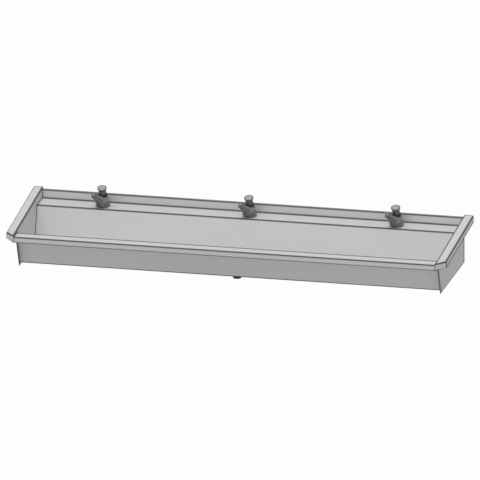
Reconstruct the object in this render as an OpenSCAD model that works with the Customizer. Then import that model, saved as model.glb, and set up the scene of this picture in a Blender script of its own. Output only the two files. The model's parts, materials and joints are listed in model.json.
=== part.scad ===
// Wall-hung wash trough with three push taps and a flush-grated waste.
// X runs along the trough, -Y points away from the wall, +Z is up.
// The origin is on the wall plane, midway along the bolt line, level with the tap ledge.

/* [Trough] */
// Overall length, over the outer flanges of both end rails
overall_length = 1800; // [1500:10:2400]
// Depth from the wall to the front of the rim
depth = 540; // [500:5:620]
// Thickness of the stainless sheet
sheet_t = 1.5; // [1.2:0.1:2]
// Outside radius of the folds in the trough
fold_r = 3.5; // [3:0.5:5]
// Height of the upstand above the ledge
upstand_h = 34; // [30:1:60]
// Distance from the wall to the front face of the upstand
upstand_gap = 20; // [17:1:25]
// Depth of the tap ledge, from the upstand to the basin
ledge_depth = 98; // [92:1:120]
// Depth of the basin below the ledge
basin_depth = 148; // [120:1:200]
// How far the basin's back wall slopes forward on its way down
back_slope = 42; // [20:1:50]
// How far the basin's front wall slopes back on its way down
front_slope = 63; // [40:1:80]
// Width of the flat front rim
rim_w = 62; // [45:1:80]
// How far the rim lies below the ledge
rim_drop = 6; // [0:1:15]
// Height of the rim's front flange
rim_flange_h = 23.5; // [18:0.5:30]
// Width of the hem turned in under the rim's front flange
rim_hem_w = 10; // [8:1:16]
// Height of the hook lip behind the upstand
hook_h = 15; // [12:1:16]
// Gap between the wall and the hook lip
hook_gap = 1; // [0.5:0.1:1.5]

/* [End panels] */
// Width of the rail folded outward along the top of each end panel
rail_w = 40; // [35:1:60]
// Height of the rail's top above the ledge at the wall
rail_back_h = 41; // [38:1:70]
// Height of the rail's top above the rim at the front
rail_front_h = 4; // [3:0.5:8]
// Outside radius of the rail's outer edge
rail_r = 8; // [5:0.5:12]
// How far the mitre sets the rail's outer front corner back
mitre_back = 45; // [30:1:60]
// Distance from the wall to the panel's front bottom corner
panel_bottom_depth = 436; // [425:1:450]
// How far the panel reaches below the basin's bottom
panel_drop = 9; // [8:1:20]
// Distance from the rail's front tip back to the panel's sloping front edge
panel_front_back = 47; // [40:1:60]
// Width of the flange folded inward along the wall
wall_flange_w = 30; // [26:1:40]
// Distance from the ledge level down to the top of the wall flange
wall_flange_drop = 24; // [22:1:40]

/* [Fixing] */
// Number of bolt holes in the hanging rail
rail_holes = 4; // [2:1:4]
// Distance between neighbouring bolt holes in the hanging rail
rail_pitch = 400; // [300:10:440]
// Radius of each bolt hole
bolt_hole_r = 4.5; // [3.5:0.5:5.5]
// Distance from the end panel to the end of the hanging rail
rail_end_gap = 60; // [45:5:80]
// Distance from the bolt line to the bottom of the hanging rail
rail_below = 20; // [15:1:22]
// Distance from the bolt line to the hanging rail's forward step
rail_step_z = 10; // [8:0.5:11]
// Gap between the fold of the hook lip and the hanging rail's raised half
rail_hook_gap = 0.5; // [0.3:0.1:1.5]
// Distance from the ledge level to the upper hole in each wall flange
flange_hole_top = 45; // [38:1:60]
// Distance between the two holes in each wall flange
flange_hole_pitch = 90; // [60:5:100]

/* [Stiffeners] */
// Height of each channel under the basin
stiffener_h = 7; // [6.5:0.5:8]
// Width of each channel's web
stiffener_web_w = 26; // [20:1:30]
// Width of each of a channel's two bonded flanges
stiffener_flange_w = 12; // [10:1:14]
// Distance from the end panels to the ends of the channels
stiffener_end_gap = 60; // [20:5:120]
// Distance from the fold at the front of the basin's bottom back to the front channel
stiffener_front_gap = 10; // [8:1:15]
// Distance from the fold at the back of the basin's bottom to the back channel
stiffener_back_gap = 35; // [30:1:40]
// Clearance between a channel and the flange of the waste body
stiffener_waste_gap = 5; // [3:0.5:10]

/* [Waste] */
// How far the waste lies in front of the middle of the basin's bottom
waste_forward = 12.5; // [0:0.5:14]
// Radius of the hole in the basin's bottom
waste_hole_r = 29; // [27:0.5:30]
// Radius of the grate's flange
grate_r = 38; // [35:0.5:40]
// Thickness of the grate
grate_t = 2; // [1.5:0.1:3]
// Depth of the grate's spigot below its flange
grate_spigot_h = 7; // [5:0.5:8]
// Radius of the grate's spigot
grate_spigot_r = 25; // [23:0.5:25]
// Radius of each hole in the grate
grate_hole_r = 2.4; // [1.5:0.1:2.6]
// Thickness of the gasket under the grate's flange
grate_gasket_t = 1; // [0.8:0.1:2]
// Thickness of the gasket under the basin
body_gasket_t = 3; // [2:0.5:4]
// Radius of the waste body's flange
waste_flange_r = 37; // [34:0.5:40]
// Thickness of the waste body's flange
waste_flange_t = 4; // [3:0.5:6]
// Outside radius of the waste body's threaded tail
tail_r = 16.6; // [15:0.1:24]
// Wall thickness of the waste body
tail_wall = 3; // [2:0.25:4]
// Distance from the underside of the waste body's flange to the end of its tail
tail_h = 33; // [28:1:60]
// Radius of the grate screw's shank
grate_screw_r = 3; // [2.5:0.25:4]

/* [Taps] */
// Distance between the centres of neighbouring taps
tap_pitch = 600; // [500:10:640]
// Distance from the wall to each tap's centre on the ledge
tap_setback = 62; // [58:1:68]
// Angle by which each tap leans towards the user
tap_lean = 19; // [12:1:20]
// Radius of the tap's foot
foot_r = 26; // [24:0.5:27]
// Height of the foot's sloping top, on the tap's own axis
foot_h = 14.5; // [14:0.25:16]
// Thickness of the gasket under the foot
foot_gasket_t = 1.5; // [1:0.25:2]
// Radius of the pillar that the spout turns on
pillar_r = 17; // [16.5:0.1:17.5]
// Height of the pillar's top along the tap's axis
pillar_h = 50; // [49:0.5:54]
// Radius of the spout's round body
bulb_r = 28.5; // [27:0.5:30]
// Height of the round body's centre along the tap's axis
bulb_h = 24; // [22:0.5:26]
// Distance from the tap's axis forward to the round body's centre
bulb_lead = 13; // [8:0.5:14]
// Wall of the spout's neck round the pillar
bulb_neck_wall = 2.45; // [2:0.05:2.7]
// Distance from the round body's centre to the centre of the spout's tip
spout_reach = 68; // [60:1:75]
// Angle by which the spout rises from the plane across the tap's axis
spout_rise = 53; // [45:1:55]
// Angle by which the spout points to the left at rest
spout_turn = 39; // [0:1:45]
// Radius of the spout's tip
spout_tip_r = 8.5; // [8:0.25:10]
// Radius of the spout where it leaves the round body's centre
spout_root_r = 24; // [20:0.5:26]
// Length of the nozzle boss below the tip's centre
nozzle_h = 10; // [10:0.5:16]
// Radius of the black collar
collar_r = 19.75; // [19.5:0.05:20.5]
// Height of the black collar
collar_h = 8; // [7:0.5:10]
// Radius of the push knob's neck
knob_neck_r = 13.5; // [12.5:0.1:13.7]
// Radius of the push knob between its neck and its head
knob_waist_r = 15.5; // [14.5:0.25:16.5]
// Radius of the push knob's head
knob_r = 19; // [17:0.5:22]
// Height of the push knob's top along the tap's axis
knob_h = 86; // [84:0.5:95]
// How far the push knob travels
knob_travel = 6; // [4:0.5:6.5]
// Radius of the threaded shank, a half-inch pipe thread
shank_r = 10.48; // [9:0.02:11]
// Distance from the ledge to the end of the shank
shank_h = 52; // [40:1:70]
// Thickness of the nut under the ledge
nut_h = 10; // [8:0.5:12]
// Thickness of the rubber washer under the ledge
nut_washer_t = 2; // [1.5:0.1:3]

/* [Hidden] */
$fn = 64;
// Steps in each fold of a sheet
fold_steps = 5;
// Reach of a cut past the faces that it opens
overrun = 1;
// Clearance between pieces that move past each other
slack = 0.3;
// Clearance between pieces that fit
fit = 0.05;
// Reach of a tool body that trims everything beyond a face
trim = overall_length;

inner_x = overall_length / 2 - rail_w;
ledge_front = upstand_gap + ledge_depth;
basin_bottom_back = ledge_front + back_slope;
rim_inner = depth - rim_w;
basin_bottom_front = rim_inner - front_slope;
rail_front_z = rail_front_h - rim_drop;
rail_slope = atan2(rail_back_h - rail_front_z, depth);
rail_flange_h = rim_flange_h + rail_front_h;
panel_bottom = -basin_depth - panel_drop;
rail_front_bottom = rail_front_z - rail_flange_h;
basin_underside = -basin_depth - sheet_t;

hanger_length = 2 * (inner_x - rail_end_gap);
rail_standoff = hook_gap + fold_r + rail_hook_gap;
hanger_top = upstand_h - sheet_t;
hanger_r = 3;
stiffener_fold_r = (stiffener_h - sheet_t) / 2 - fit;
stiffener_half_w = stiffener_web_w / 2 + stiffener_flange_w;

waste_from_wall = (basin_bottom_back + basin_bottom_front) / 2 + waste_forward;
grate_z = -basin_depth + grate_gasket_t;
waste_flange_z = basin_underside - body_gasket_t;
tail_bottom = waste_flange_z - waste_flange_t - tail_h;
funnel_h = 14;
bridge_w = 9;
bridge_h = 5;
bridge_z = waste_flange_z - waste_flange_t - funnel_h;
screw_head_r = 6;
screw_head_h = 2.5;
screw_slot_w = 1.4;
gasket_edge = 2;
// Rings of holes in the grate: radius of each ring as a share of the spigot's bore, and its holes
grate_ring_shares = [0.44, 0.76];
grate_ring_holes = [8, 14];

shank_hole_gap = 1;
shank_hole_r = shank_r + shank_hole_gap;
relief_w = 1;
relief_d = 0.6;
nut_bottom = -sheet_t - nut_washer_t - nut_h;
shank_bore_r = 6;
valve_bore_r = 11;
valve_floor = 16;
valve_h = 14;
knob_catch = 1;
knob_hollow = 16;
knob_flange_r = knob_neck_r + knob_catch;
knob_flange_h = 2.5;
knob_bore_r = 10;
knob_ceiling = pillar_h + knob_hollow;
knob_bottom = pillar_h - slack - knob_flange_h;
well_r = knob_flange_r + slack;
well_floor = knob_bottom - knob_travel - slack;
stem_r = 2.5;
stem_head_r = 3.7;
stem_head_h = 3;
stem_bottom = valve_floor + knob_travel + slack;
valve_stem_r = stem_head_r + slack;
port_r = 3;
port_edge = 1;
port_h = valve_floor + valve_h - port_r - port_edge;
gallery_d = 2.5;
gallery_r = pillar_r + gallery_d;
gallery_h = 9;
bulb_bottom = foot_h + slack;
bulb_top = pillar_h - collar_h / 2 - slack;
bulb_bore_r = pillar_r + fit;
bulb_neck_r = bulb_bore_r + bulb_neck_wall;
barrel_wall = 4;
barrel_r = gallery_r + barrel_wall;
barrel_top = port_h + gallery_h / 2 + barrel_wall;
seal_wire_r = 1.2;
seal_groove_d = 3;
seal_groove_w = 3;
seal_heights = [foot_h + seal_groove_w + 2 * slack, well_floor - seal_groove_w];
spring_r = 7.5;
spring_wire_r = 0.7;
spring_turns = 7;
spring_rings = 12;
spring_sides = 6;
// How far the ball at the spout's tip stands out past its arm and boss
tip_swell = 0.5;
nozzle_wall = 1.8;
nozzle_bore_r = spout_tip_r - nozzle_wall;
nozzle_insert_h = 8;
nozzle_recess = 1;
nozzle_hole_r = 0.9;
spout_bore_r = 5;
washer_r = 19;
nut_r = 17.5;

tap_sides = ["left", "centre", "right"];
tap_pieces = [
    "tap_foot", "foot_gasket", "spout", "spout_nozzle", "swivel_seals", "collar", "push_knob",
    "knob_stem", "return_spring", "valve_cartridge", "shank_washer", "shank_nut"
];

function unit(v) = v / norm(v);
function left_of(v) = [-v[1], v[0]];
function turned(v, angle) = [v[0] * cos(angle) - v[1] * sin(angle), v[0] * sin(angle) + v[1] * cos(angle)];
function backwards(list) = [for (i = [len(list) - 1:-1:0]) list[i]];

// The arc of one fold at b, on the line that lies shift to the left of a-b-c
function fold_arc(a, b, c, r, shift) =
    let (
        ahead = unit(b - a),
        next = unit(c - b),
        across = ahead[0] * next[1] - ahead[1] * next[0],
        angle = atan2(across, ahead * next),
        side = sign(across),
        centre = b - ahead * r * tan(abs(angle) / 2) + side * r * left_of(ahead)
    )
    [
        for (i = [0:fold_steps])
            centre + turned(-side * (r - side * shift) * left_of(ahead), angle * i / fold_steps)
    ];

// A folded line through the points, moved shift to its left, with a radius for each fold
function fold_line(points, radii, shift) =
    let (last = len(points) - 1)
    concat(
        [points[0] + shift * left_of(unit(points[1] - points[0]))],
        [
            for (i = [1:last - 1])
                each fold_arc(points[i - 1], points[i], points[i + 1], radii[i - 1], shift)
        ],
        [points[last] + shift * left_of(unit(points[last] - points[last - 1]))]
    );

// The section of a folded sheet whose thickness lies to the right of the line
function sheet_section(points, radii, t) =
    concat(fold_line(points, radii, 0), backwards(fold_line(points, radii, -t)));

function same_radius(points, r) = [for (i = [2:len(points) - 1]) r];

// Extrudes a section drawn in Y and Z along X, centred
module along_x(length) {
    translate([-length / 2, 0, 0])
        rotate([90, 0, 90])
            linear_extrude(length)
                children();
}

module tube(outer_r, inner_r, h) {
    difference() {
        cylinder(r = outer_r, h = h);
        translate([0, 0, -overrun])
            cylinder(r = inner_r, h = h + 2 * overrun);
    }
}

module ring_of(count, r) {
    for (i = [0:count - 1])
        rotate([0, 0, 360 * i / count])
            translate([r, 0, 0])
                children();
}

// Trough: hook lip, upstand, ledge, basin, rim and front flange, folded from one sheet
trough_line = [
    [-hook_gap, upstand_h - hook_h],
    [-hook_gap, upstand_h],
    [-upstand_gap, upstand_h],
    [-upstand_gap, 0],
    [-ledge_front, 0],
    [-basin_bottom_back, -basin_depth],
    [-basin_bottom_front, -basin_depth],
    [-rim_inner, -rim_drop],
    [-depth, -rim_drop],
    [-depth, -rim_drop - rim_flange_h],
    [-depth + rim_hem_w, -rim_drop - rim_flange_h]
];

module trough_shell() {
    section = sheet_section(trough_line, same_radius(trough_line, fold_r), -sheet_t);
    color("lightgray")
        difference() {
            along_x(2 * inner_x)
                polygon(section);
            for (i = [0:len(tap_sides) - 1])
                at_tap(i)
                    translate([0, 0, -sheet_t - overrun])
                        cylinder(r = shank_hole_r, h = sheet_t + 2 * overrun);
            at_waste()
                translate([0, 0, basin_underside - overrun])
                    cylinder(r = waste_hole_r, h = sheet_t + 2 * overrun);
        }
}

// End panel: side plate, sloping rail folded outward, mitred front and wall flange
rail_line = [
    [inner_x, -rail_flange_h],
    [inner_x, 0],
    [inner_x + rail_w, 0],
    [inner_x + rail_w, -rail_flange_h]
];
rail_radii = [fold_r, rail_r];

module rail_extrusion(section) {
    translate([0, 0, rail_back_h])
        rotate([rail_slope, 0, 0])
            translate([0, rail_back_h, 0])
                rotate([90, 0, 0])
                    linear_extrude(depth + 2 * rail_back_h)
                        polygon(section);
}

module rail_plan() {
    translate([0, 0, -trim / 2])
        linear_extrude(trim)
            polygon([
                [inner_x, 0],
                [inner_x, -depth],
                [inner_x + rail_w, -depth + mitre_back],
                [inner_x + rail_w, 0]
            ]);
}

module mitre_strip() {
    mitre_angle = atan2(mitre_back, rail_w);
    translate([inner_x, -depth, -trim / 2])
        rotate([0, 0, mitre_angle])
            cube([norm([rail_w, mitre_back]), sheet_t, trim]);
}

module side_plate() {
    top = -rail_flange_h / 2;
    translate([inner_x, 0, 0])
        rotate([90, 0, 90])
            linear_extrude(sheet_t)
                polygon([
                    [0, rail_back_h + top],
                    [-depth, rail_front_z + top],
                    [-depth, rail_front_bottom],
                    [-depth + panel_front_back, rail_front_bottom],
                    [-panel_bottom_depth, panel_bottom],
                    [0, panel_bottom]
                ]);
}

module wall_flange() {
    flange_top = -wall_flange_drop;
    difference() {
        translate([inner_x - wall_flange_w, -sheet_t, panel_bottom])
            cube([wall_flange_w + sheet_t, sheet_t, flange_top - panel_bottom]);
        for (z = [-flange_hole_top, -flange_hole_top - flange_hole_pitch])
            translate([inner_x - wall_flange_w / 2, overrun, z])
                rotate([90, 0, 0])
                    cylinder(r = bolt_hole_r, h = sheet_t + 2 * overrun);
    }
}

module end_panel() {
    color("lightgray") {
        side_plate();
        wall_flange();
        intersection() {
            rail_extrusion(sheet_section(rail_line, rail_radii, sheet_t));
            rail_plan();
        }
        intersection() {
            rail_extrusion(fold_line(rail_line, rail_radii, 0));
            rail_plan();
            mitre_strip();
        }
    }
}

// Hanging rail: screwed to the wall, its raised upper half goes behind the hook lip's front
hanger_line = [
    [-sheet_t, -rail_below],
    [-sheet_t, rail_step_z],
    [-rail_standoff - sheet_t, rail_step_z + rail_standoff],
    [-rail_standoff - sheet_t, hanger_top]
];

module hanging_rail() {
    color("silver")
        difference() {
            along_x(hanger_length)
                polygon(sheet_section(hanger_line, same_radius(hanger_line, hanger_r), sheet_t));
            for (i = [0:rail_holes - 1])
                translate([(i - (rail_holes - 1) / 2) * rail_pitch, overrun, 0])
                    rotate([90, 0, 0])
                        cylinder(r = bolt_hole_r, h = sheet_t + 2 * overrun);
        }
}

// Hat-section channel bonded under the basin, which makes way for the waste body's flange
module stiffener(from_wall) {
    half_web = stiffener_web_w / 2;
    line = [
        [-stiffener_half_w, 0],
        [-half_web, 0],
        [-half_web, -stiffener_h + sheet_t],
        [half_web, -stiffener_h + sheet_t],
        [half_web, 0],
        [stiffener_half_w, 0]
    ];
    color("silver")
        difference() {
            translate([0, -from_wall, basin_underside])
                along_x(2 * (inner_x - stiffener_end_gap))
                    polygon(sheet_section(line, same_radius(line, stiffener_fold_r), sheet_t));
            at_waste()
                translate([0, 0, basin_underside - stiffener_h - overrun])
                    cylinder(r = waste_flange_r + stiffener_waste_gap, h = stiffener_h + 2 * overrun);
        }
}

module stiffener_front() {
    stiffener(basin_bottom_front - stiffener_front_gap - stiffener_half_w);
}

module stiffener_back() {
    stiffener(basin_bottom_back + stiffener_back_gap + stiffener_half_w);
}

module at_waste() {
    translate([0, -waste_from_wall, 0])
        children();
}

// Waste: the screw pulls the body up against the basin and the grate down onto it
module waste_grate() {
    grate_bore_r = grate_spigot_r - grate_t;
    color("gainsboro")
        at_waste()
            difference() {
                union() {
                    translate([0, 0, grate_z])
                        cylinder(r1 = grate_r, r2 = grate_r - grate_t / 2, h = grate_t);
                    translate([0, 0, grate_z - grate_spigot_h])
                        cylinder(r = grate_spigot_r, h = grate_spigot_h);
                }
                translate([0, 0, grate_z - grate_spigot_h - overrun])
                    cylinder(r = grate_bore_r, h = grate_spigot_h + overrun);
                for (ring = [0:len(grate_ring_shares) - 1])
                    ring_of(grate_ring_holes[ring], grate_ring_shares[ring] * grate_bore_r)
                        translate([0, 0, grate_z - overrun])
                            cylinder(r = grate_hole_r, h = grate_t + 2 * overrun, $fn = 24);
                translate([0, 0, grate_z - overrun])
                    cylinder(r = grate_screw_r + fit, h = grate_t + 2 * overrun);
            }
}

module grate_screw() {
    top = grate_z + grate_t;
    bottom = bridge_z - bridge_h;
    color("gainsboro")
        at_waste()
            difference() {
                union() {
                    translate([0, 0, top])
                        cylinder(r1 = screw_head_r, r2 = screw_head_r / 2, h = screw_head_h);
                    translate([0, 0, bottom])
                        cylinder(r = grate_screw_r, h = top - bottom);
                }
                translate([-screw_head_r, -screw_slot_w / 2, top + screw_head_h / 2])
                    cube([2 * screw_head_r, screw_slot_w, screw_head_h]);
            }
}

module grate_gasket() {
    color("black")
        at_waste()
            translate([0, 0, -basin_depth])
                tube(grate_r - gasket_edge, waste_hole_r, grate_gasket_t);
}

module body_gasket() {
    color("black")
        at_waste()
            translate([0, 0, waste_flange_z])
                tube(waste_flange_r - gasket_edge / 2, waste_hole_r, body_gasket_t);
}

module waste_body() {
    flange_bottom = waste_flange_z - waste_flange_t;
    bore_r = tail_r - tail_wall;
    color("dimgray")
        at_waste() {
            rotate_extrude()
                polygon([
                    [bore_r, tail_bottom],
                    [tail_r, tail_bottom],
                    [tail_r, flange_bottom - funnel_h],
                    [waste_hole_r + tail_wall, flange_bottom],
                    [waste_flange_r, flange_bottom],
                    [waste_flange_r, waste_flange_z],
                    [waste_hole_r, waste_flange_z],
                    [waste_hole_r, flange_bottom],
                    [bore_r, flange_bottom - funnel_h]
                ]);
            difference() {
                translate([-bore_r - tail_wall / 2, -bridge_w / 2, bridge_z - bridge_h])
                    cube([2 * bore_r + tail_wall, bridge_w, bridge_h]);
                translate([0, 0, bridge_z - bridge_h - overrun])
                    cylinder(r = grate_screw_r + fit, h = bridge_h + 2 * overrun);
            }
        }
}

module at_tap(i) {
    translate([(i - (len(tap_sides) - 1) / 2) * tap_pitch, -tap_setback, 0])
        children();
}

// Places children on the tap's leaning axis, at the given height along it
module leaning(h) {
    rotate([tap_lean, 0, 0])
        translate([0, 0, h])
            children();
}

// Foot: wedge on the ledge, leaning pillar and upright threaded shank in one casting
module tap_foot() {
    pillar_start = foot_h / 2 + foot_gasket_t;
    color("dimgray")
        difference() {
            union() {
                difference() {
                    translate([0, 0, foot_gasket_t])
                        cylinder(r = foot_r, h = 2 * foot_h);
                    leaning(foot_h)
                        cylinder(r = 2 * foot_r, h = 2 * foot_r);
                }
                leaning(pillar_start)
                    cylinder(r = pillar_r, h = pillar_h - pillar_start);
                translate([0, 0, -shank_h])
                    cylinder(r = shank_r, h = shank_h + 2 * foot_gasket_t);
            }
            translate([0, 0, -shank_h - overrun])
                cylinder(r = shank_bore_r, h = shank_h + overrun + valve_floor * cos(tap_lean));
            leaning(valve_floor)
                cylinder(r = valve_bore_r, h = pillar_h);
            leaning(well_floor)
                cylinder(r = well_r, h = pillar_h);
            leaning(port_h)
                ring_of(4, valve_bore_r - overrun)
                    rotate([0, 90, 0])
                        cylinder(r = port_r, h = pillar_r);
            for (h = seal_heights)
                leaning(h - seal_groove_w / 2)
                    tube(pillar_r + overrun, pillar_r - seal_groove_d, seal_groove_w);
            translate([0, 0, nut_bottom - relief_w])
                tube(shank_r + overrun, shank_r - relief_d, relief_w);
        }
}

module foot_gasket() {
    color("black")
        tube(foot_r - gasket_edge / 4, shank_hole_r, foot_gasket_t);
}

// Spout: barrel that turns on the pillar, with a round body in front of it, from which a tapered
// arm rises to an upright nozzle boss
module at_bulb() {
    translate([0, -bulb_lead, bulb_h])
        children();
}

module along_arm() {
    at_bulb()
        rotate([90 - spout_rise, 0, -spout_turn])
            children();
}

module at_spout_tip() {
    along_arm()
        translate([0, 0, spout_reach])
            rotate([spout_rise - 90, 0, 0])
                rotate([0, 0, spout_turn])
                    rotate([-tap_lean, 0, 0])
                        children();
}

module spout_bores() {
    cylinder(r = bulb_bore_r, h = knob_h);
    translate([0, 0, bulb_top])
        cylinder(r = collar_r + slack, h = knob_h);
    translate([0, 0, port_h - gallery_h / 2])
        cylinder(r = gallery_r, h = gallery_h);
    along_arm()
        translate([0, 0, -bulb_lead])
            cylinder(r = spout_bore_r, h = spout_reach + bulb_lead);
    at_spout_tip() {
        sphere(r = spout_bore_r + slack);
        translate([0, 0, -nozzle_h])
            cylinder(r = spout_bore_r, h = nozzle_h);
        translate([0, 0, -nozzle_h - overrun])
            cylinder(r = nozzle_bore_r, h = nozzle_insert_h + nozzle_recess + overrun);
    }
}

module spout() {
    color("dimgray")
        leaning(0)
            difference() {
                union() {
                    at_bulb()
                        sphere(r = bulb_r);
                    cylinder(r = barrel_r, h = barrel_top);
                    translate([0, 0, barrel_top])
                        cylinder(r1 = barrel_r, r2 = bulb_neck_r, h = bulb_top - barrel_top);
                    along_arm()
                        cylinder(r1 = spout_root_r, r2 = spout_tip_r, h = spout_reach);
                    at_spout_tip() {
                        sphere(r = spout_tip_r + tip_swell);
                        translate([0, 0, -nozzle_h])
                            cylinder(r = spout_tip_r, h = nozzle_h);
                    }
                }
                translate([0, 0, bulb_bottom - 2 * bulb_r])
                    cylinder(r = 2 * bulb_r, h = 2 * bulb_r);
                spout_bores();
            }
}

module spout_nozzle() {
    color("silver")
        leaning(0)
            at_spout_tip()
                translate([0, 0, -nozzle_h + nozzle_recess])
                    difference() {
                        cylinder(r = nozzle_bore_r - fit, h = nozzle_insert_h);
                        ring_of(6, nozzle_bore_r / 2)
                            translate([0, 0, -overrun])
                                cylinder(r = nozzle_hole_r, h = nozzle_insert_h + 2 * overrun, $fn = 16);
                    }
}

module swivel_seals() {
    color("black")
        for (h = seal_heights)
            leaning(h)
                rotate_extrude()
                    translate([pillar_r - seal_wire_r - fit, 0])
                        circle(r = seal_wire_r, $fn = 24);
}

module collar() {
    bottom = pillar_h - collar_h / 2;
    edge = collar_h / 8;
    color("black")
        leaning(0)
            rotate_extrude()
                polygon([
                    [pillar_r + fit, bottom],
                    [collar_r - edge, bottom],
                    [collar_r, bottom + edge],
                    [collar_r, bottom + collar_h - edge],
                    [collar_r - edge, bottom + collar_h],
                    [knob_neck_r + slack, bottom + collar_h],
                    [knob_neck_r + slack, pillar_h],
                    [pillar_r + fit, pillar_h]
                ]);
}

// Push knob: hollow neck with a catch flange under the collar, then a wider waist and a dished head
module push_knob() {
    head_h = (knob_h - pillar_h) / 9;
    waist_bottom = pillar_h + collar_h / 2 + knob_travel + slack;
    edge = head_h / 4;
    dish = head_h / 5;
    color("gray")
        leaning(0)
            rotate_extrude()
                polygon([
                    [knob_bore_r, knob_bottom],
                    [knob_flange_r, knob_bottom],
                    [knob_flange_r, knob_bottom + knob_flange_h],
                    [knob_neck_r, knob_bottom + knob_flange_h],
                    [knob_neck_r, waist_bottom],
                    [knob_waist_r, waist_bottom + knob_waist_r - knob_neck_r],
                    [knob_waist_r, knob_h - head_h - knob_r + knob_waist_r],
                    [knob_r, knob_h - head_h],
                    [knob_r, knob_h - edge],
                    [knob_r - edge, knob_h],
                    [knob_r - 2 * edge, knob_h],
                    [knob_r - 4 * edge, knob_h - dish],
                    [0, knob_h - dish],
                    [0, knob_ceiling],
                    [knob_bore_r, knob_ceiling]
                ]);
}

module knob_stem() {
    color("goldenrod")
        leaning(stem_bottom) {
            cylinder(r = stem_r, h = knob_ceiling - stem_bottom);
            cylinder(r = stem_head_r, h = stem_head_h);
        }
}

// Coil of the return spring, round the stem, from the cartridge to the knob's ceiling
function coil_point(share) =
    let (h = valve_floor + valve_h + spring_wire_r + slack)
    let (top = knob_ceiling - spring_wire_r - slack)
    let (angle = 360 * spring_turns * share)
    [spring_r * cos(angle), spring_r * sin(angle), h + (top - h) * share];

module return_spring() {
    count = spring_turns * spring_rings;
    points = [
        for (i = [0:count])
            let (angle = 360 * i / spring_rings)
            for (j = [0:spring_sides - 1])
                let (tilt = 360 * j / spring_sides)
                coil_point(i / count)
                    + spring_wire_r * [cos(angle) * cos(tilt), sin(angle) * cos(tilt), sin(tilt)]
    ];
    sides = [
        for (i = [0:count - 1])
            for (j = [0:spring_sides - 1])
                let (k = (j + 1) % spring_sides)
                let (a = i * spring_sides)
                let (b = a + spring_sides)
                each [[a + j, a + k, b + k], [a + j, b + k, b + j]]
    ];
    ends = [
        for (j = [1:spring_sides - 2])
            let (last = count * spring_sides)
            each [[0, j + 1, j], [last, last + j, last + j + 1]]
    ];
    color("silver")
        leaning(0)
            polyhedron(points, concat(sides, ends));
}

module valve_cartridge() {
    color("goldenrod")
        difference() {
            leaning(valve_floor)
                tube(valve_bore_r - fit, valve_stem_r, valve_h);
            leaning(port_h)
                ring_of(4, 0)
                    rotate([0, 90, 0])
                        cylinder(r = port_r / 2, h = pillar_r);
        }
}

module shank_washer() {
    color("black")
        translate([0, 0, -sheet_t - nut_washer_t])
            tube(washer_r, shank_r + fit, nut_washer_t);
}

module shank_nut() {
    color("goldenrod")
        translate([0, 0, nut_bottom])
            difference() {
                cylinder(r = nut_r, h = nut_h, $fn = 6);
                translate([0, 0, -overrun])
                    cylinder(r = shank_r + fit, h = nut_h + 2 * overrun);
            }
}

trough_shell();
mirror([1, 0, 0]) end_panel();  // end_panel_left
end_panel();  // end_panel_right
hanging_rail();
stiffener_front();
stiffener_back();
waste_grate();
grate_screw();
grate_gasket();
body_gasket();
waste_body();

for (i = [0:len(tap_sides) - 1]) {
    side = tap_sides[i];
    at_tap(i) tap_foot();
    at_tap(i) foot_gasket();
    at_tap(i) spout();
    at_tap(i) spout_nozzle();
    at_tap(i) swivel_seals();
    at_tap(i) collar();
    at_tap(i) push_knob();
    at_tap(i) knob_stem();
    at_tap(i) return_spring();
    at_tap(i) valve_cartridge();
    at_tap(i) shank_washer();
    at_tap(i) shank_nut();
}
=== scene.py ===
"""Dresses a wall-hung stainless wash trough with leaning push taps and a grated waste.

Lengths are in metres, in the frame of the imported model: X runs along the trough, -Y points away
from the wall and Z is up. The origin lies on the wall plane, level with the tap ledge.
"""

from __future__ import annotations

import json
import logging
import math
from dataclasses import dataclass
from enum import Enum
from functools import reduce
from typing import Any, Iterable, Sequence

import bmesh
import bpy
from mathutils import Matrix, Vector

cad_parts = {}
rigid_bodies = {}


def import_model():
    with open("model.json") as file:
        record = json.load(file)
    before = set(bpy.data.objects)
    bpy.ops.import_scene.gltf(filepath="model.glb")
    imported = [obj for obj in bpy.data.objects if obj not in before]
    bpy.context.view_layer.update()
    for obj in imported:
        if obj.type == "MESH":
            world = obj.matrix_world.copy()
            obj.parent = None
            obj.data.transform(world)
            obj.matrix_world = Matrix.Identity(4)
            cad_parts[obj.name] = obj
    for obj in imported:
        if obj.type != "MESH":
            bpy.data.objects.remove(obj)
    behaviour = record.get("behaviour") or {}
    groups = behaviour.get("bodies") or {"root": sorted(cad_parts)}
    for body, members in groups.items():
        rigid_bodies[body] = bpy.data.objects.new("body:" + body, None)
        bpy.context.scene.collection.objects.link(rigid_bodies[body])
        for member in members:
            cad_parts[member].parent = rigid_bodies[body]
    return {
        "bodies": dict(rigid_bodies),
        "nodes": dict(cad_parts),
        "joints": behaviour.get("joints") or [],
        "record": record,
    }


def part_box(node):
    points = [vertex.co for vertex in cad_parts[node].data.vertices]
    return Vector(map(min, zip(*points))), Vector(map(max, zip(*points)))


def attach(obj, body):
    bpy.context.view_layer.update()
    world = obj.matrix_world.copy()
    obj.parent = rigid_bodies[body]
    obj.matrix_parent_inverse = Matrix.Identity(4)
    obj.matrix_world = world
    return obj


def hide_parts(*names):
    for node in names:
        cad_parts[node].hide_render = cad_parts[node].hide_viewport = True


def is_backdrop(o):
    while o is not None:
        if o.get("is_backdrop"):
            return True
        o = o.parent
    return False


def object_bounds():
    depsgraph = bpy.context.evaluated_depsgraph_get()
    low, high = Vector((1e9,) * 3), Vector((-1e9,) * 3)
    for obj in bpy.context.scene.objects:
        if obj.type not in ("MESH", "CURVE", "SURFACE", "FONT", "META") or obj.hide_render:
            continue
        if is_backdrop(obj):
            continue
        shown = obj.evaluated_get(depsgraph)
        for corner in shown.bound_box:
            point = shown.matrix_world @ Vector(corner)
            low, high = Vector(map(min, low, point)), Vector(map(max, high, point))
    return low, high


LOG = logging.getLogger("trough")
MM = 0.001
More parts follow.
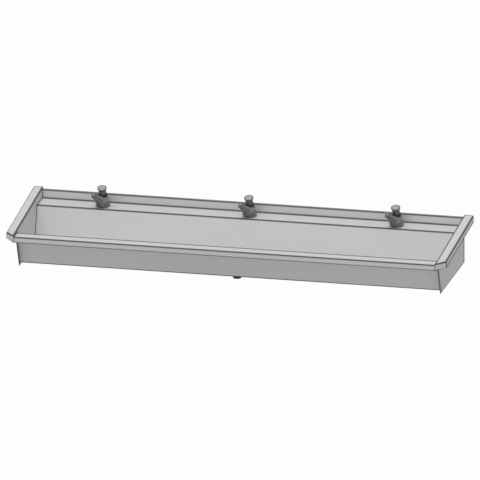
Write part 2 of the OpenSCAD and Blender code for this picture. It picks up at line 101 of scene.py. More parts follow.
SIDES = ("left", "centre", "right")
WHITE = (1.0, 1.0, 1.0, 1.0)
ROUND_FACES = 72
FINE_FACES = 96
# A mark of painted shade is full to a quarter of its width from its line, and gone at three
# quarters of it.
MARK_EDGE = 1.5
MARK_SLOPE = 2.0
# How steeply a mark of painted shade ends at its top, per metre of height.
MARK_FADE = 400.0
# How far a thread's root reaches into the piece that it stands on.
THREAD_ROOT = 0.2 * MM


class Grain(Enum):
    """The direction in which a sheet is brushed, as the grain's cycles per metre on each axis."""

    ALONG_X = (0.6, 260.0, 260.0)
    ALONG_Y = (260.0, 0.6, 260.0)


class Value:
    """A node socket that takes part in Python expressions."""

    def __init__(self, nodes: "Nodes", socket: Any) -> None:
        """Wraps a socket of a node tree."""
        self.nodes = nodes
        self.socket = socket

    def _with(self, operation: str, *others: Any) -> "Value":
        """Adds a Math node that takes this value first."""
        return self.nodes.maths(operation, self, *others)

    def __add__(self, other: Any) -> "Value":
        """Sum."""
        return self._with("ADD", other)

    __radd__ = __add__

    def __mul__(self, other: Any) -> "Value":
        """Product."""
        return self._with("MULTIPLY", other)

    __rmul__ = __mul__

    def __sub__(self, other: Any) -> "Value":
        """Difference."""
        return self._with("SUBTRACT", other)

    def __rsub__(self, other: Any) -> "Value":
        """Reflected difference, such as 1 - mask."""
        return self.nodes.maths("SUBTRACT", other, self)

    def __truediv__(self, other: Any) -> "Value":
        """Quotient."""
        return self._with("DIVIDE", other)

    def larger(self, other: Any) -> "Value":
        """The larger of two values."""
        return self._with("MAXIMUM", other)

    def held(self) -> "Value":
        """The value held between 0 and 1."""
        return self._with("MAXIMUM", 0.0)._with("MINIMUM", 1.0)

    def around(self, middle: float, span: float) -> "Value":
        """The value spread by a span about a middle, which 0.5 becomes."""
        return self * span + (middle - span / 2)


class Nodes:
    """Builds the node tree of a material or of the world."""

    def __init__(self, owner: bpy.types.ID) -> None:
        """Empties the owner's node tree."""
        owner.use_nodes = True
        self.tree = owner.node_tree
        self.tree.nodes.clear()

    def node(self, kind: str, settings: dict | None = None, **inputs: Any) -> Any:
        """Adds a node of any type.

        Args:
            kind: Blender's type name of the node.
            settings: Attributes that are set before the inputs.
            **inputs: Values or links by input name, with _ for a space, or in_N for the Nth.

        Returns:
            The new node.
        """
        made = self.tree.nodes.new(kind)
        for key, value in (settings or {}).items():
            setattr(made, key, value)
        for key, value in inputs.items():
            index = int(key[3:]) if key.startswith("in_") else key.replace("_", " ")
            socket = made.inputs[index]
            if isinstance(value, Value):
                self.tree.links.new(value.socket, socket)
            else:
                socket.default_value = value
        return made

    def maths(self, operation: str, *values: Any) -> Value:
        """Adds a Math node on numbers."""
        inputs = {f"in_{i}": value for i, value in enumerate(values)}
        made = self.node("ShaderNodeMath", {"operation": operation}, **inputs)
        return Value(self, made.outputs[0])

    def vector(self, operation: str, output: int, *values: Any) -> Value:
        """Adds a Vector Math node and gives the numbered output."""
        inputs = {f"in_{i}": value for i, value in enumerate(values)}
        made = self.node("ShaderNodeVectorMath", {"operation": operation}, **inputs)
        return Value(self, made.outputs[output])

    def ends(self, kind: str, shader: Any) -> None:
        """Joins a shader's node to an output node of a type."""
        self.tree.links.new(shader.outputs[0], self.node(kind).inputs[0])

    def seen_or_lighting(self, light: Any, seen: Any, share: float) -> Any:
        """Mixes two shaders, one for light and one for the camera, reflections and clear materials.

        Args:
            light: Node of the shader that other rays meet.
            seen: Node of the shader that the camera and mirrored rays meet.
            share: How much of the second shader such rays meet.

        Returns:
            The mixing node.
        """
        path = self.node("ShaderNodeLightPath")
        kinds = ("Camera", "Glossy", "Transmission")
        rays = [Value(self, path.outputs[f"Is {kind} Ray"]) for kind in kinds]
        mixed = self.node("ShaderNodeMixShader", in_0=reduce(Value.larger, rays) * share)
        self.tree.links.new(light.outputs[0], mixed.inputs[1])
        self.tree.links.new(seen.outputs[0], mixed.inputs[2])
        return mixed


class Shader(Nodes):
    """Builds one procedural material."""

    def __init__(self, name: str) -> None:
        """Starts a material with an empty node tree."""
        self.material = bpy.data.materials.new(name)
        super().__init__(self.material)

    def place(self) -> Value:
        """The point on the object, in the object's own frame."""
        return Value(self, self.node("ShaderNodeTexCoord").outputs["Object"])

    def noise(self, stretch: Sequence[float], detail: float = 3.0, rough: float = 0.55) -> Value:
        """Noise whose frequency along each axis is given in cycles per metre.

        Args:
            stretch: Cycles per metre along X, Y and Z.
            detail: How many finer layers the noise has.
            rough: How strong the finer layers are.

        Returns:
            The noise, near 0.5 on average.
        """
        mapping = self.node(
            "ShaderNodeMapping", {"vector_type": "POINT"}, Vector=self.place(), Scale=tuple(stretch)
        )
        made = self.node(
            "ShaderNodeTexNoise",
            Vector=Value(self, mapping.outputs[0]),
            Scale=1.0,
            Detail=detail,
            Roughness=rough,
        )
        return Value(self, made.outputs[0])

    def about(
        self, pivot: Sequence[float], axis: Sequence[float], pitch: float
    ) -> tuple[Value, Value]:
        """Height along a leaning axis and distance from it, for copies that repeat along X.

        Args:
            pivot: A point on the axis of the copy in the middle.
            axis: Direction of the axis, at a right angle to X.
            pitch: Distance between neighbouring copies.

        Returns:
            The height and the distance.
        """
        offset = self.vector("SUBTRACT", 0, self.place(), tuple(pivot))
        parts = self.node("ShaderNodeSeparateXYZ", Vector=offset)
        x, y, z = (Value(self, parts.outputs[i]) for i in range(3))
        copies = self.maths("ROUND", x / pitch)
        beside = x - copies * pitch
        height = y * axis[1] + z * axis[2]
        ahead = y * axis[2] - z * axis[1]
        return height, self.maths("SQRT", beside * beside + ahead * ahead)

    def tint(self, color: Sequence[float], amount: Value) -> Value:
        """A colour made lighter or darker by an amount near 1."""
        scaled = self.node(
            "ShaderNodeVectorMath", {"operation": "SCALE"}, Vector=tuple(color), Scale=amount
        )
        return Value(self, scaled.outputs[0])

    def mark(self, line: "Line", place: Value, height: Value, squeeze: Vector) -> Value:
        """A mask of painted shade that is 1 on one straight line and 0 away from it.

        Args:
            line: The line.
            place: The point on the object, squeezed.
            height: Height of that point.
            squeeze: How much the space is squeezed along each axis.

        Returns:
            The mask.
        """
        point = Vector(line.point) * squeeze
        direction = (Vector(line.direction) * squeeze).normalized()
        offset = self.vector("SUBTRACT", 0, place, tuple(point))
        across = self.vector("CROSS_PRODUCT", 0, offset, tuple(direction))
        distance = self.vector("LENGTH", 1, across)
        mask = (MARK_EDGE - distance * (MARK_SLOPE / line.width)).held()
        if line.top is not None:
            mask = mask * ((line.top - height) * MARK_FADE).held()
        return mask

    def marks(self, lines: Iterable["Line"], level: float) -> Value:
        """A mask of painted shade that is 1 on straight lines through space and 0 away from them.

        Args:
            lines: The lines, at least one.
            level: How many times wider along Y the marks are, so that they show on level sheet.

        Returns:
            The mask.
        """
        squeeze = Vector((1.0, 1.0 / level, 1.0))
        place = self.vector("MULTIPLY", 0, self.place(), tuple(squeeze))
        height = Value(self, self.node("ShaderNodeSeparateXYZ", Vector=place).outputs["Z"])
        return reduce(Value.larger, [self.mark(line, place, height, squeeze) for line in lines])

    def surface(
        self, color: Any, rough: Any, metallic: float, relief: Value, depth: float, **fixed: Any
    ) -> bpy.types.Material:
        """Ends the material in a Principled shader.

        Args:
            color: Colour or its link.
            rough: Roughness or its link.
            metallic: How metallic the surface is.
            relief: Relief for the bump.
            depth: Height of the relief.
            **fixed: Other sockets of the shader.

        Returns:
            The finished material.
        """
        bump = self.node("ShaderNodeBump", Height=relief, Distance=depth, Strength=1.0)
        normal = Value(self, bump.outputs[0])
        inputs = {"Base_Color": color, "Roughness": rough, "Metallic": metallic, "Normal": normal}
        shader = self.node("ShaderNodeBsdfPrincipled", **inputs, **fixed)
        self.ends("ShaderNodeOutputMaterial", shader)
        return self.material


@dataclass(frozen=True)
class Line:
    """A straight line through space, where a sheet is folded or ends.

    Its mark of painted shade ends at the height in top, if that is given.
    """

    point: tuple[float, float, float]
    direction: tuple[float, float, float]
    width: float = 7 * MM
    top: float | None = None


@dataclass(frozen=True)
class BrushedSheet:
    """Brushed stainless sheet, with painted shade along its folds and cut edges."""

    name: str
    grain: Grain
    folds: tuple[Line, ...]
    level: float = 1.0
    color: tuple[float, float, float] = (0.8, 0.8, 0.8)
    roughness: float = 0.46
    metallic: float = 0.2
    sheen: float = 0.05
    edge_tint: tuple[float, float, float, float] = (0.3, 0.3, 0.3, 1.0)
    # How much the painted shade darkens the sheet on its folds and cut edges.
    fold_depth: float = 0.87
    grain_shade: float = 0.08
    grain_rough: float = 0.1
    grain_depth: float = 0.004 * MM
    cloud_rates: tuple[float, float, float] = (2.2, 5.0, 5.0)
    cloud_shade: float = 0.06
    cloud_rough: float = 0.04

    def build(self) -> bpy.types.Material:
        """Builds the material."""
        shader = Shader(self.name)
        grain = shader.noise(self.grain.value, detail=4.0, rough=0.7)
        cloud = shader.noise(self.cloud_rates, detail=2.0)
        # Mask of the painted shade along the folds and cut edges.
        fold_shade = shader.marks(self.folds, self.level)
        shade = grain.around(1.0, self.grain_shade) + cloud.around(0.0, self.cloud_shade)
        return shader.surface(
            shader.tint(self.color, shade * (1.0 - fold_shade * self.fold_depth)),
            grain.around(self.roughness, self.grain_rough) + cloud.around(0.0, self.cloud_rough),
            self.metallic,
            grain,
            self.grain_depth,
            Specular_IOR_Level=self.sheen,
            Specular_Tint=self.edge_tint,
        )


@dataclass(frozen=True)
class CastMetal:
    """Satin plated casting with a fine even tooth."""

    name: str
    color: tuple[float, float, float]
    roughness: float = 0.34
    metallic: float = 0.55
    tooth_rate: float = 900.0
    tooth_depth: float = 0.006 * MM
    wear_rate: float = 38.0
    wear_shade: float = 0.24
    wear_rough: float = 0.12

    def build(self) -> bpy.types.Material:
        """Builds the material."""
        shader = Shader(self.name)
        tooth = shader.noise((self.tooth_rate,) * 3, detail=2.0)
        wear = shader.noise((self.wear_rate,) * 3, detail=4.0, rough=0.6)
        return shader.surface(
            shader.tint(self.color, wear.around(1.0, self.wear_shade)),
            wear.around(self.roughness, self.wear_rough),
            self.metallic,
            tooth,
            self.tooth_depth,
        )


@dataclass(frozen=True)
class TurnedKnob:
    """Satin turned knob, with painted shade round its rim and down its neck that leaves the top
    pale.
    """

    name: str
    pivot: tuple[float, float, float]
    axis: tuple[float, float, float]
    pitch: float
    color: tuple[float, float, float] = (0.41, 0.41, 0.41)
    roughness: float = 0.36
    metallic: float = 0.4
    rim_r: float = 14.4 * MM
    rim_fade: float = 1200.0
    rim_dark: float = 0.68
    head_low: float = 80 * MM
    neck_fade: float = 500.0
    neck_dark: float = 0.55
    groove_pitch: float = 0.35 * MM
    groove_depth: float = 0.002 * MM
    wear_rate: float = 60.0
    wear_shade: float = 0.2
    wear_rough: float = 0.1

    def build(self) -> bpy.types.Material:
        """Builds the material, with painted shade placed by height along the axis and distance from
        it.
        """
        shader = Shader(self.name)
        height, radius = shader.about(self.pivot, self.axis, self.pitch)
        # Masks of painted shade down the neck and round the rim of the head.
        neck = ((self.head_low - height) * self.neck_fade).held()
        rim = ((radius - self.rim_r) * self.rim_fade).held() * (1.0 - neck)
        ripple = shader.maths("SINE", (radius + height) * (math.tau / self.groove_pitch))
        wear = shader.noise((self.wear_rate,) * 3, detail=4.0, rough=0.6)
        # Painted shade: neck and rim are darkened as if they faced away from the light.
        painted_shade_factor = (1.0 - rim * self.rim_dark) * (1.0 - neck * self.neck_dark)
        return shader.surface(
            shader.tint(self.color, wear.around(1.0, self.wear_shade) * painted_shade_factor),
            wear.around(self.roughness, self.wear_rough),
            self.metallic,
            ripple,
            self.groove_depth,
        )


@dataclass(frozen=True)
class Moulded:
    """Moulded plastic or rubber with a fine grain."""

    name: str
    color: tuple[float, float, float]
    roughness: float = 0.5
    grain_rate: float = 1500.0
    grain_depth: float = 0.02 * MM
    dust_rate: float = 60.0
    dust_shade: float = 0.3
    dust_rough: float = 0.1

    def build(self) -> bpy.types.Material:
        """Builds the material."""
        shader = Shader(self.name)
        grain = shader.noise((self.grain_rate,) * 3, detail=2.0)
        dust = shader.noise((self.dust_rate,) * 3, detail=3.0)
        return shader.surface(
            shader.tint(self.color, dust.around(1.0, self.dust_shade)),
            dust.around(self.roughness, self.dust_rough),
            0.0,
            grain,
            self.grain_depth,
        )


@dataclass(frozen=True)
class Spangled:
    """Zinc-coated steel with its mottled spangle."""

    name: str
    color: tuple[float, float, float]
    roughness: float = 0.49
    metallic: float = 0.6
    spangle_rate: float = 90.0
    spangle_shade: float = 0.3
    spangle_rough: float = 0.2
    spangle_depth: float = 0.01 * MM

    def build(self) -> bpy.types.Material:
        """Builds the material."""
        shader = Shader(self.name)
        cells = shader.node("ShaderNodeTexVoronoi", Vector=shader.place(), Scale=self.spangle_rate)
        spangle = Value(shader, cells.outputs["Distance"])
        return shader.surface(
            shader.tint(self.color, spangle.around(1.0, self.spangle_shade)),
            spangle.around(self.roughness, self.spangle_rough),
            self.metallic,
            spangle,
            self.spangle_depth,
        )


def rounded(
    points: Sequence[tuple[float, float]], radius: float, steps: int = 5, share: float = 0.45
) -> list[tuple[float, float]]:
    """Rounds the inner corners of an open line.

    Args:
        points: Corners of the line.
        radius: Radius of the rounding, held to what the neighbouring corners leave.
        steps: Pieces in each rounding.
        share: The part of a side that one rounding may take.

    Returns:
        The rounded line.
    """
    made = [points[0]]
    for before, corner, after in zip(points, points[1:], points[2:]):
        place = Vector(corner)
        back, ahead = Vector(before) - place, Vector(after) - place
        bend = back.angle(ahead)
        reach = min(radius / math.tan(bend / 2), back.length * share, ahead.length * share)
        start, end = place + back.normalized() * reach, place + ahead.normalized() * reach
        for step in range(steps + 1):
            t = step / steps
            made.append(tuple(start * (1 - t) ** 2 + place * 2 * t * (1 - t) + end * t**2))
    made.append(points[-1])
    return made


def applied(thing: bpy.types.Object, kind: str, **settings: Any) -> None:
    """Puts one modifier's result into an object's mesh."""
    modifier = thing.modifiers.new(kind.lower(), kind)
    for key, value in settings.items():
        setattr(modifier, key, value)
    bpy.context.view_layer.update()
    seen = thing.evaluated_get(bpy.context.evaluated_depsgraph_get())
    shaped = bpy.data.meshes.new_from_object(seen)
    thing.modifiers.clear()
    old = thing.data
    thing.data = shaped
    bpy.data.meshes.remove(old)


def combined(thing: bpy.types.Object, operation: str, other: bpy.types.Object) -> None:
    """Cuts an object by another one, or keeps what both share, and deletes the other one."""
    applied(thing, "BOOLEAN", operation=operation, solver="EXACT", object=other)
    data = other.data
    bpy.data.objects.remove(other)
    bpy.data.meshes.remove(data)


def smoothed(data: bpy.types.Mesh, angle: float) -> None:
    """Shades a mesh smooth over edges that are flatter than an angle in degrees."""
    data.shade_smooth()
    data.set_sharp_from_angle(angle=math.radians(angle))


class Form:
    """A mesh under construction, made with bmesh operators."""

    def __init__(self) -> None:
        """Starts an empty mesh."""
        self.mesh = bmesh.new()

    def spin(self, profile: Sequence[tuple[float, float]], steps: int = ROUND_FACES) -> "Form":
        """Turns a profile of radii and heights about the Z axis.

        Args:
            profile: Radius and height of each point.
            steps: Faces round the axis.

        Returns:
            This form.
        """
        points = [self.mesh.verts.new((r, 0.0, z)) for r, z in profile]
        edges = [self.mesh.edges.new(pair) for pair in zip(points, points[1:])]
        bmesh.ops.spin(
            self.mesh,
            geom=[*points, *edges],
            cent=(0.0, 0.0, 0.0),
            axis=(0.0, 0.0, 1.0),
            angle=math.tau,
            steps=steps,
            use_merge=True,
        )
        return self.merged()

    def cylinder(
        self, low_r: float, high_r: float, height: float, where: Matrix, sides: int = ROUND_FACES
    ) -> "Form":
        """Adds a closed cone, cylinder or prism that stands on a place along its own Z.

        Args:
            low_r: Radius at the foot.
            high_r: Radius at the top.
            height: Height along Z.
            where: Place of the foot's middle.
            sides: Faces round the axis.

        Returns:
            This form.
        """
        made = bmesh.ops.create_cone(
            self.mesh, cap_ends=True, segments=sides, radius1=low_r, radius2=high_r, depth=height
        )
        shift = Matrix.Translation((0.0, 0.0, height / 2))
        bmesh.ops.transform(self.mesh, matrix=where @ shift, verts=made["verts"])
        return self

    def ball(self, radius: float, where: Matrix) -> "Form":
        """Adds a ball at the given place."""
        bmesh.ops.create_icosphere(self.mesh, subdivisions=5, radius=radius, matrix=where)
        return self

    def tube(
        self, path: Sequence[Vector], radii: Sequence[float], sides: int, across: Vector
    ) -> "Form":
        """Sweeps a round section of changing radius along a path in a plane.

        Args:
            path: Points of the path.
            radii: Radius at each point.
            sides: Corners of the section.
            across: Direction at a right angle to the path's plane.

        Returns:
            This form.
        """
        rings = []
        for index, (point, radius) in enumerate(zip(path, radii)):
            ahead = (path[min(index + 1, len(path) - 1)] - path[max(index - 1, 0)]).normalized()
            out = across.cross(ahead)
            turns = [math.tau * side / sides for side in range(sides)]
            spokes = [out * math.cos(turn) + across * math.sin(turn) for turn in turns]
            rings.append([self.mesh.verts.new(point + spoke * radius) for spoke in spokes])
        for low, high in zip(rings, rings[1:]):
            for side in range(sides):
                after = (side + 1) % sides
                self.mesh.faces.new((low[side], low[after], high[after], high[side]))
        self.mesh.faces.new(reversed(rings[0]))
        self.mesh.faces.new(rings[-1])
        bmesh.ops.recalc_face_normals(self.mesh, faces=self.mesh.faces)
        return self

    def thread(
        self, radius: float, depth: float, pitch: float, low: float, high: float, steps: int = 40
    ) -> "Form":
        """Adds a helical ridge round the Z axis, which runs out at both ends.

        Args:
            radius: Radius of the ridge's root.
            depth: Height of the ridge.
            pitch: Rise in one turn.
            low: Height at which it starts.
            high: Height at which it ends.
            steps: Sections in one turn.

        Returns:
            This form.
        """
        count = int((high - low - pitch) / pitch * steps)
        rows = []
        for index in range(count + 1):
            angle = math.tau * index / steps
            height = low + pitch * index / steps
            fade = min(1.0, index / steps, (count - index) / steps)
            crest = radius + depth * fade
            ridge = ((radius, 0.02), (crest, 0.42), (crest, 0.58), (radius, 0.98))
            turn = Vector((math.cos(angle), math.sin(angle), 0.0))
            points = [turn * r + Vector((0.0, 0.0, height + pitch * share)) for r, share in ridge]
            rows.append([self.mesh.verts.new(point) for point in points])
        for low_row, high_row in zip(rows, rows[1:]):
            for k in range(4):
                after = (k + 1) % 4
                self.mesh.faces.new((low_row[k], high_row[k], high_row[after], low_row[after]))
        self.mesh.faces.new(rows[0])
        self.mesh.faces.new(reversed(rows[-1]))
        bmesh.ops.recalc_face_normals(self.mesh, faces=self.mesh.faces)
        return self

    def merged(self) -> "Form":
        """Joins doubled points and turns the faces outwards."""
        bmesh.ops.remove_doubles(self.mesh, verts=self.mesh.verts, dist=0.001 * MM)
        bmesh.ops.recalc_face_normals(self.mesh, faces=self.mesh.faces)
        return self

    def placed(self, where: Matrix) -> "Form":
        """Moves the mesh to its place in the model."""
        bmesh.ops.transform(self.mesh, matrix=where, verts=self.mesh.verts)
        return self

    def piece(
        self, name: str, material: bpy.types.Material, smooth_angle: float = 35.0
    ) -> bpy.types.Object:
        """Ends the mesh as an object at the origin.

        Args:
            name: Name of the piece.
            material: Its finish.
            smooth_angle: Edges flatter than this many degrees are shaded smooth.

        Returns:
            The object.
        """
        data = bpy.data.meshes.new(name)
        self.mesh.to_mesh(data)
        self.mesh.free()
        smoothed(data, smooth_angle)
        data.materials.append(material)
        made = bpy.data.objects.new(name, data)
        bpy.context.scene.collection.objects.link(made)
        return made


class Model:
    """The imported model, and the finishes that its nodes take."""

    def __init__(self) -> None:
        """Loads the frame."""
        self.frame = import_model()
        self.box = [list(corner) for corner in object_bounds()]

    def dress(self, node: str, material: bpy.types.Material) -> None:
        """Gives a CAD node its finish."""
        data = self.frame["nodes"][node].data
        if data.materials:
            for index in range(len(data.materials)):
                data.materials[index] = material
        else:
            data.materials.append(material)
        LOG.info("dressed %s in %s", node, material.name)

    def add(self, piece: bpy.types.Object, body: str, slot: str, *replaced: str) -> None:
        """Makes a new piece ride on a body, and hides the nodes that it stands for."""
        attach(piece, body)
        if replaced:
            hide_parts(*replaced)
        LOG.info("added %s on %s", piece.name, body)

    def joint(self, name: str) -> dict:
        """The joint of that name."""
        return next(joint for joint in self.frame["joints"] if joint["name"] == name)


@dataclass
class Sheetwork:
    """The folded trough and its two end panels."""

    model: Model
    upstand_h: float = 34 * MM
    upstand_y: float = -20 * MM
    hook_y: float = -1 * MM
    ledge_front_y: float = -118 * MM
    basin_z: float = -148 * MM
    basin_back_y: float = -160 * MM
    basin_front_y: float = -415 * MM
    rim_y: float = -478 * MM
    rim_z: float = -6 * MM
    rim_bottom_z: float = -29.5 * MM
    rail_back_z: float = 41 * MM
    rail_front_z: float = -2 * MM
    rail_flange_h: float = 27.5 * MM
    mitre_back: float = 45 * MM
    rail_r: float = 8 * MM
    panel_bottom_z: float = -157 * MM
    panel_bottom_y: float = -436 * MM
    panel_front_y: float = -493 * MM
    # Widths and inset of the lines of painted shade along folds and cut edges.
    fold_mark: float = 7.5 * MM
    level_spread: float = 2.5
    rail_mark: float = 8.5 * MM
    edge_mark: float = 30 * MM
    mark_inset: float = 1.8 * MM

    def __post_init__(self) -> None:
        """Takes the outer sizes from the frame."""
        low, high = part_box("end_panel_right")
        self.outer_x = high.x
        self.front_y = low.y
        self.inner_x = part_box("trough_shell")[1].x

    def trough_folds(self) -> tuple[Line, ...]:
        """The trough's folds, which all run along X, as lines for painted shade."""
        places = (
            (self.hook_y, self.upstand_h),
            (self.upstand_y, self.upstand_h),
            (self.upstand_y, 0.0),
            (self.ledge_front_y, 0.0),
            (self.basin_back_y, self.basin_z),
            (self.basin_front_y, self.basin_z),
            (self.rim_y - self.mark_inset, self.rim_z),
            (self.front_y, self.rim_z),
            (self.front_y, self.rim_bottom_z),
        )
        return tuple(Line((0.0, y, z), (1.0, 0.0, 0.0)) for y, z in places)

    def panel_folds(self, sign: float) -> tuple[Line, ...]:
        """An end panel's folds and cut edges, as lines for painted shade, on the side that sign
        gives.
        """
        along, back, up = (1.0, 0.0, 0.0), (0.0, 1.0, 0.0), (0.0, 0.0, 1.0)
        fall = (0.0, self.front_y, self.rail_front_z - self.rail_back_z)
        mitre = (sign * (self.outer_x - self.inner_x), self.mitre_back, 0.0)
        rise = self.rim_bottom_z - self.panel_bottom_z
        slant = (0.0, self.panel_front_y - self.panel_bottom_y, rise)
        inner, outer = sign * self.inner_x, sign * self.outer_x
        back_z, front_z, low_z = self.rail_back_z, self.rail_front_z, self.panel_bottom_z
        flange_z = back_z - self.rail_flange_h
        bend = self.rail_r * (1.0 - math.sqrt(0.5))
        fold_shade, edge = self.fold_mark, self.edge_mark
        return (
            Line((inner + sign * self.mark_inset, 0.0, back_z), fall, self.rail_mark),
            Line((outer - sign * bend, 0.0, back_z - bend), fall, fold_shade),
            Line((outer, 0.0, flange_z + self.mark_inset), fall, fold_shade),
            Line((0.0, 0.0, back_z), along, fold_shade),
            Line((inner, self.front_y, front_z), mitre, fold_shade),
            Line((inner, self.front_y, front_z - self.rail_flange_h), mitre, fold_shade),
            Line((inner, self.front_y, front_z), up, fold_shade),
            Line((outer, self.front_y + self.mitre_back, front_z), up, fold_shade),
            Line((inner, 0.0, low_z), back, fold_shade),
            Line((inner, self.panel_bottom_y, low_z), slant, edge, self.rim_bottom_z),
            Line((inner, 0.0, 0.0), up, edge, flange_z),
        )

    def build(self) -> None:
        """Dresses the three sheets."""
        trough = BrushedSheet("trough_steel", Grain.ALONG_X, self.trough_folds(), self.level_spread)
        self.model.dress("trough_shell", trough.build())
        for side, sign in (("left", -1.0), ("right", 1.0)):
            panel = BrushedSheet(f"panel_steel_{side}", Grain.ALONG_Y, self.panel_folds(sign))
            self.model.dress(f"end_panel_{side}", panel.build())


@dataclass
class Tap:
    """One leaning push tap: its swivelling spout, knob, collar, nut and threaded shank."""

    model: Model
    side: str
    finishes: dict[str, bpy.types.Material]
    bulb_r: float = 28.5 * MM
    bulb_h: float = 24 * MM
    bulb_lead: float = 13 * MM
    bulb_bottom: float = 14.8 * MM
    barrel_r: float = 23.5 * MM
    barrel_top: float = 34.5 * MM
    neck_r: float = 19.5 * MM
    neck_top: float = 45.7 * MM
    bore_r: float = 17.05 * MM
    arm_root_r: float = 24 * MM
    arm_tip_r: float = 8.5 * MM
    arm_reach: float = 68 * MM
    arm_rise: float = 53.0
    arm_turn: float = 39.0
    boss_h: float = 10 * MM
    nozzle_bore_r: float = 6.7 * MM
    nozzle_depth: float = 9 * MM
    blend: float = 0.5
    blend_steps: int = 14
    cast_angle: float = 40.0
    gap: float = 0.3 * MM
    neck_trim: float = 0.2 * MM
    collar_r: float = 19.75 * MM
    collar_low: float = 46 * MM
    collar_high: float = 54 * MM
    collar_edge_w: float = 1.4 * MM
    collar_edge_h: float = 1.2 * MM
    collar_rounding: float = 0.8 * MM
    pillar_top: float = 50 * MM
    knob_bottom: float = 47.2 * MM
    knob_neck_r: float = 13.5 * MM
    knob_waist_r: float = 15.5 * MM
    knob_travel: float = 6.3 * MM
    knob_r: float = 19 * MM
    knob_top: float = 86 * MM
    knob_bore_r: float = 10 * MM
    knob_ceiling: float = 66 * MM
    knob_boss_r: float = 6 * MM
    knob_flange_w: float = 1 * MM
    knob_flange_h: float = 2.5 * MM
    knob_shoulder_h: float = 2 * MM
    knob_flare_h: float = 3.5 * MM
    knob_head_h: float = 4 * MM
    knob_edge_w: float = 1.4 * MM
    knob_edge_h: float = 0.4 * MM
    knob_rim_w: float = 3.6 * MM
    knob_rim_drop: float = 0.3 * MM
    knob_dish: float = 0.8 * MM
    knob_dish_share: float = 0.4
    knob_rounding: float = 1.6 * MM
    spring_room: float = 0.4 * MM
    nut_r: float = 17.5 * MM
    nut_low: float = -13.5 * MM
    nut_high: float = -3.5 * MM
    nut_bevel: float = 1.3 * MM
    nut_gap: float = 0.05 * MM
    nut_angle: float = 20.0
    nut_turn: float = 30.0
    shank_r: float = 10.48 * MM
    shank_low: float = -52 * MM
    thread_h: float = 0.6 * MM
    thread_pitch: float = 1.8 * MM
    thread_low_gap: float = 1 * MM
    thread_high_gap: float = 1.5 * MM
    voxel: float = 0.9 * MM

    def __post_init__(self) -> None:
        """Takes the tap's place and lean from its joint."""
        joint = self.model.joint(f"turn_{self.side}")
        self.upright = Matrix.Translation(Vector(joint["pos_m"]))
        axis = Vector(joint["axis"]).normalized()
        lean = math.atan2(-axis.y, axis.z)
        self.leaning = self.upright @ Matrix.Rotation(lean, 4, "X")
        self.lean = lean

    def spout(self) -> None:
        """The cast spout: a barrel and round body that flow into a tapered arm and nozzle."""
        centre = Matrix.Translation((0.0, -self.bulb_lead, self.bulb_h))
        turn = Matrix.Rotation(math.radians(self.arm_turn), 4, "Z")
        rise = Matrix.Rotation(math.radians(90.0 - self.arm_rise), 4, "X")
        arm = centre @ turn.inverted() @ rise
        tip = arm @ Matrix.Translation((0.0, 0.0, self.arm_reach)) @ rise.inverted() @ turn
        tip = tip @ Matrix.Rotation(-self.lean, 4, "X")
        shoulder = Matrix.Translation((0.0, 0.0, self.barrel_top))
        boss = tip @ Matrix.Translation((0.0, 0.0, -self.boss_h))
        blank = Form()
        blank.ball(self.bulb_r, centre)
        blank.cylinder(self.barrel_r, self.barrel_r, self.barrel_top, Matrix.Identity(4))
        blank.cylinder(self.barrel_r, self.neck_r, self.neck_top - self.barrel_top, shoulder)
        blank.cylinder(self.arm_root_r, self.arm_tip_r, self.arm_reach, arm)
        blank.ball(self.arm_tip_r, tip)
        blank.cylinder(self.arm_tip_r, self.arm_tip_r, self.boss_h, boss)
        body = blank.placed(self.leaning).piece(f"cast_spout_{self.side}", self.finishes["tap"])
        applied(body, "REMESH", mode="VOXEL", voxel_size=self.voxel, use_smooth_shade=True)
        applied(body, "SMOOTH", factor=self.blend, iterations=self.blend_steps)

        far = 2.5 * self.bulb_r
        neck_z = self.neck_top - self.neck_trim
        way_r = self.collar_r + self.gap
        bore = Form().spin(
            [
                (0.0, self.bulb_bottom - far),
                (far, self.bulb_bottom - far),
                (far, self.bulb_bottom),
                (self.bore_r, self.bulb_bottom),
                (self.bore_r, neck_z),
                (way_r, neck_z),
                (way_r, self.knob_top),
                (0.0, self.knob_top),
            ]
        )
        depth = self.nozzle_depth + far
        start = boss @ Matrix.Translation((0.0, 0.0, -far))
        outlet = Form().cylinder(self.nozzle_bore_r, self.nozzle_bore_r, depth, start)
        for hollow in (bore, outlet):
            cutter = hollow.placed(self.leaning).piece("cutter", self.finishes["tap"])
            combined(body, "DIFFERENCE", cutter)
        smoothed(body.data, self.cast_angle)
        self.model.add(body, f"swivel_{self.side}", "tap_metal", f"spout_{self.side}")

    def knob(self) -> None:
        """The push knob: neck, waist and dished head, with room inside for the spring."""
        flange_r = self.knob_neck_r + self.knob_flange_w
        flange_z = self.knob_bottom + self.knob_flange_h
        waist_z = self.collar_high + self.knob_travel
        top = self.knob_top
        head_z = top - self.knob_head_h
        profile = rounded(
            [
                (self.knob_bore_r, self.knob_bottom),
                (flange_r, self.knob_bottom),
                (flange_r, flange_z),
                (self.knob_neck_r, flange_z),
                (self.knob_neck_r, waist_z),
                (self.knob_waist_r, waist_z + self.knob_shoulder_h),
                (self.knob_waist_r, head_z - self.knob_flare_h),
                (self.knob_r, head_z),
                (self.knob_r, top - self.knob_edge_h),
                (self.knob_r - self.knob_edge_w, top),
                (self.knob_r - self.knob_rim_w, top - self.knob_rim_drop),
                (self.knob_r * self.knob_dish_share, top - self.knob_dish),
                (0.0, top - self.knob_dish),
            ],
            self.knob_rounding,
        )
        recess = self.knob_ceiling + self.knob_travel + self.spring_room
        hollow = [
            (0.0, self.knob_ceiling),
            (self.knob_boss_r, self.knob_ceiling),
            (self.knob_boss_r, recess),
            (self.knob_bore_r, recess),
        ]
        form = Form().spin([*profile, *hollow, profile[0]], FINE_FACES).placed(self.leaning)
        piece = form.piece(f"turned_knob_{self.side}", self.finishes["knob"])
        self.model.add(piece, f"knob_{self.side}", "knob_metal", f"push_knob_{self.side}")

